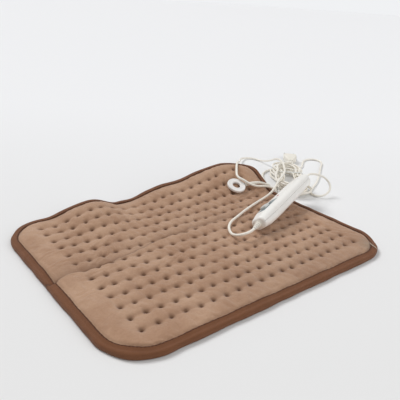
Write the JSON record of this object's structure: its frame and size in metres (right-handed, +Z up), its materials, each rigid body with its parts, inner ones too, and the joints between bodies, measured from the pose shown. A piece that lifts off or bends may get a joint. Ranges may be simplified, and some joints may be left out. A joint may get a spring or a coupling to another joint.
{
  "type": "heating pad with controller",
  "caption": "Quilted plush electric heating pad with bound edge, slide-switch hand controller on its cord, and a mains lead wound in a tied hank that ends in a two-pin plug.",
  "frame": {"origin": "middle of the pad underside, on the surface it lies on", "axes": "+X along the pad's long side towards the cord end, +Y along its short side away from the viewer, +Z up off the surface"},
  "size_m": [0.6208, 0.3782, 0.0472],
  "materials": {
    "plush": "short beige-brown plush pile, matt",
    "backing": "flat beige-brown knit, matt",
    "binding": "brown woven edge tape, matt",
    "fleece": "off-white needled fleece",
    "element": "silicone-covered heating wire",
    "white_plastic": "warm white moulded shell, fine grain",
    "ring_plastic": "white moulded ring, satin",
    "soft_vinyl": "cream flexible vinyl",
    "scale_grey": "grey-blue switch panel, satin",
    "knob_plastic": "light grey moulding, satin",
    "board_green": "green glass-fibre board",
    "dark_moulding": "black moulding compound",
    "blue_moulding": "blue capacitor case",
    "clear_body": "clear body",
    "red_lens": "red translucent lens",
    "steel": "zinc-plated screw",
    "nickel": "nickel-plated pin",
    "clear_tie": "translucent nylon tie"
  },
  "bodies": {
    "pad_and_controller": {"top_cover": "plush", "bottom_cover": "backing", "upper_wadding": "fleece", "lower_wadding": "fleece", "edge_binding": "binding", "heating_wire": "element", "thermostat": "dark_moulding", "splice_capsule": "white_plastic", "cord_anchor_ring": "ring_plastic", "pad_sleeve": "soft_vinyl", "front_shell": "white_plastic", "back_shell": "white_plastic", "scale_plate": "scale_grey", "circuit_board": "board_green", "switch_body": "dark_moulding", "indicator_lens": "red_lens", "indicator_lamp": "clear_body", "control_chip": "dark_moulding", "film_capacitor": "blue_moulding", "triac": "dark_moulding", "electrolytic": "dark_moulding", "fuse": "clear_body", "screw_near": "steel", "screw_far": "steel", "near_relief": "soft_vinyl", "far_relief": "soft_vinyl", "plug_relief": "soft_vinyl", "near_wire_a": "soft_vinyl", "near_wire_b": "soft_vinyl", "far_wire_a": "soft_vinyl", "far_wire_b": "soft_vinyl", "plug_body": "soft_vinyl", "pin_left": "nickel", "pin_right": "nickel", "pad_cord": "soft_vinyl", "mains_cord": "soft_vinyl", "plug_cord": "soft_vinyl", "mains_hank": "soft_vinyl", "cable_tie": "clear_tie"},
    "slider": {"slider_knob": "knob_plastic"}
  },
  "joints": [
    {"name": "heat_slide", "type": "slide", "parent": "pad_and_controller", "child": "slider", "axis": [0.9282, 0.3659, 0.0678], "range_m": [0, 0.015]}
  ]
}
